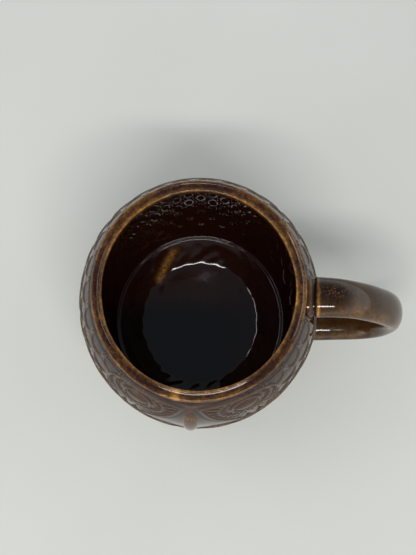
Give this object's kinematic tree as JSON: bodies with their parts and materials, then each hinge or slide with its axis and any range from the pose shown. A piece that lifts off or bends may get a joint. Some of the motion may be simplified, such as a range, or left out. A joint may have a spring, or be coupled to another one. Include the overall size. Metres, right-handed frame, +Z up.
{
  "type": "owl mug",
  "caption": "Round-bellied ceramic mug with rows of raised feathers, an owl's face on the front and a strap handle at the side.",
  "frame": {"origin": "middle of the foot on the surface that the mug stands on", "axes": "+Z up through the mouth, -Y where the owl faces, +X towards the handle (the handle itself is turned 2.2 degrees round towards +Y)"},
  "size_m": [0.1297, 0.0996, 0.09],
  "materials": {
    "brown_glaze": "glossy dark brown glaze over clay, amber where it thins on edges",
    "handle_glaze": "glossy brown glaze with amber mottling",
    "feather_glaze": "glossy brown glaze, honey-coloured on the raised edges",
    "face_glaze": "glossy brown glaze, honey-coloured on the raised edges",
    "eye_glaze": "glossy amber-brown glaze",
    "bare_clay": "matt unglazed buff clay"
  },
  "bodies": {
    "root": {"vessel": "brown_glaze", "foot_ring": "bare_clay", "handle": "handle_glaze", "upper_handle_joint": "handle_glaze", "lower_handle_joint": "handle_glaze", "beak": "face_glaze", "left_eye": "eye_glaze", "right_eye": "eye_glaze", "left_eye_ring": "face_glaze", "right_eye_ring": "face_glaze", "left_face_disc": "face_glaze", "right_face_disc": "face_glaze", "feather_row_01": "feather_glaze", "feather_row_02": "feather_glaze", "feather_row_03": "feather_glaze", "feather_row_04": "feather_glaze", "feather_row_05": "feather_glaze", "feather_row_06": "feather_glaze", "feather_row_07": "feather_glaze", "feather_row_08": "feather_glaze", "feather_row_09": "feather_glaze", "feather_row_10": "feather_glaze", "feather_row_11": "feather_glaze", "feather_row_12": "feather_glaze"}
  },
  "joints": []
}
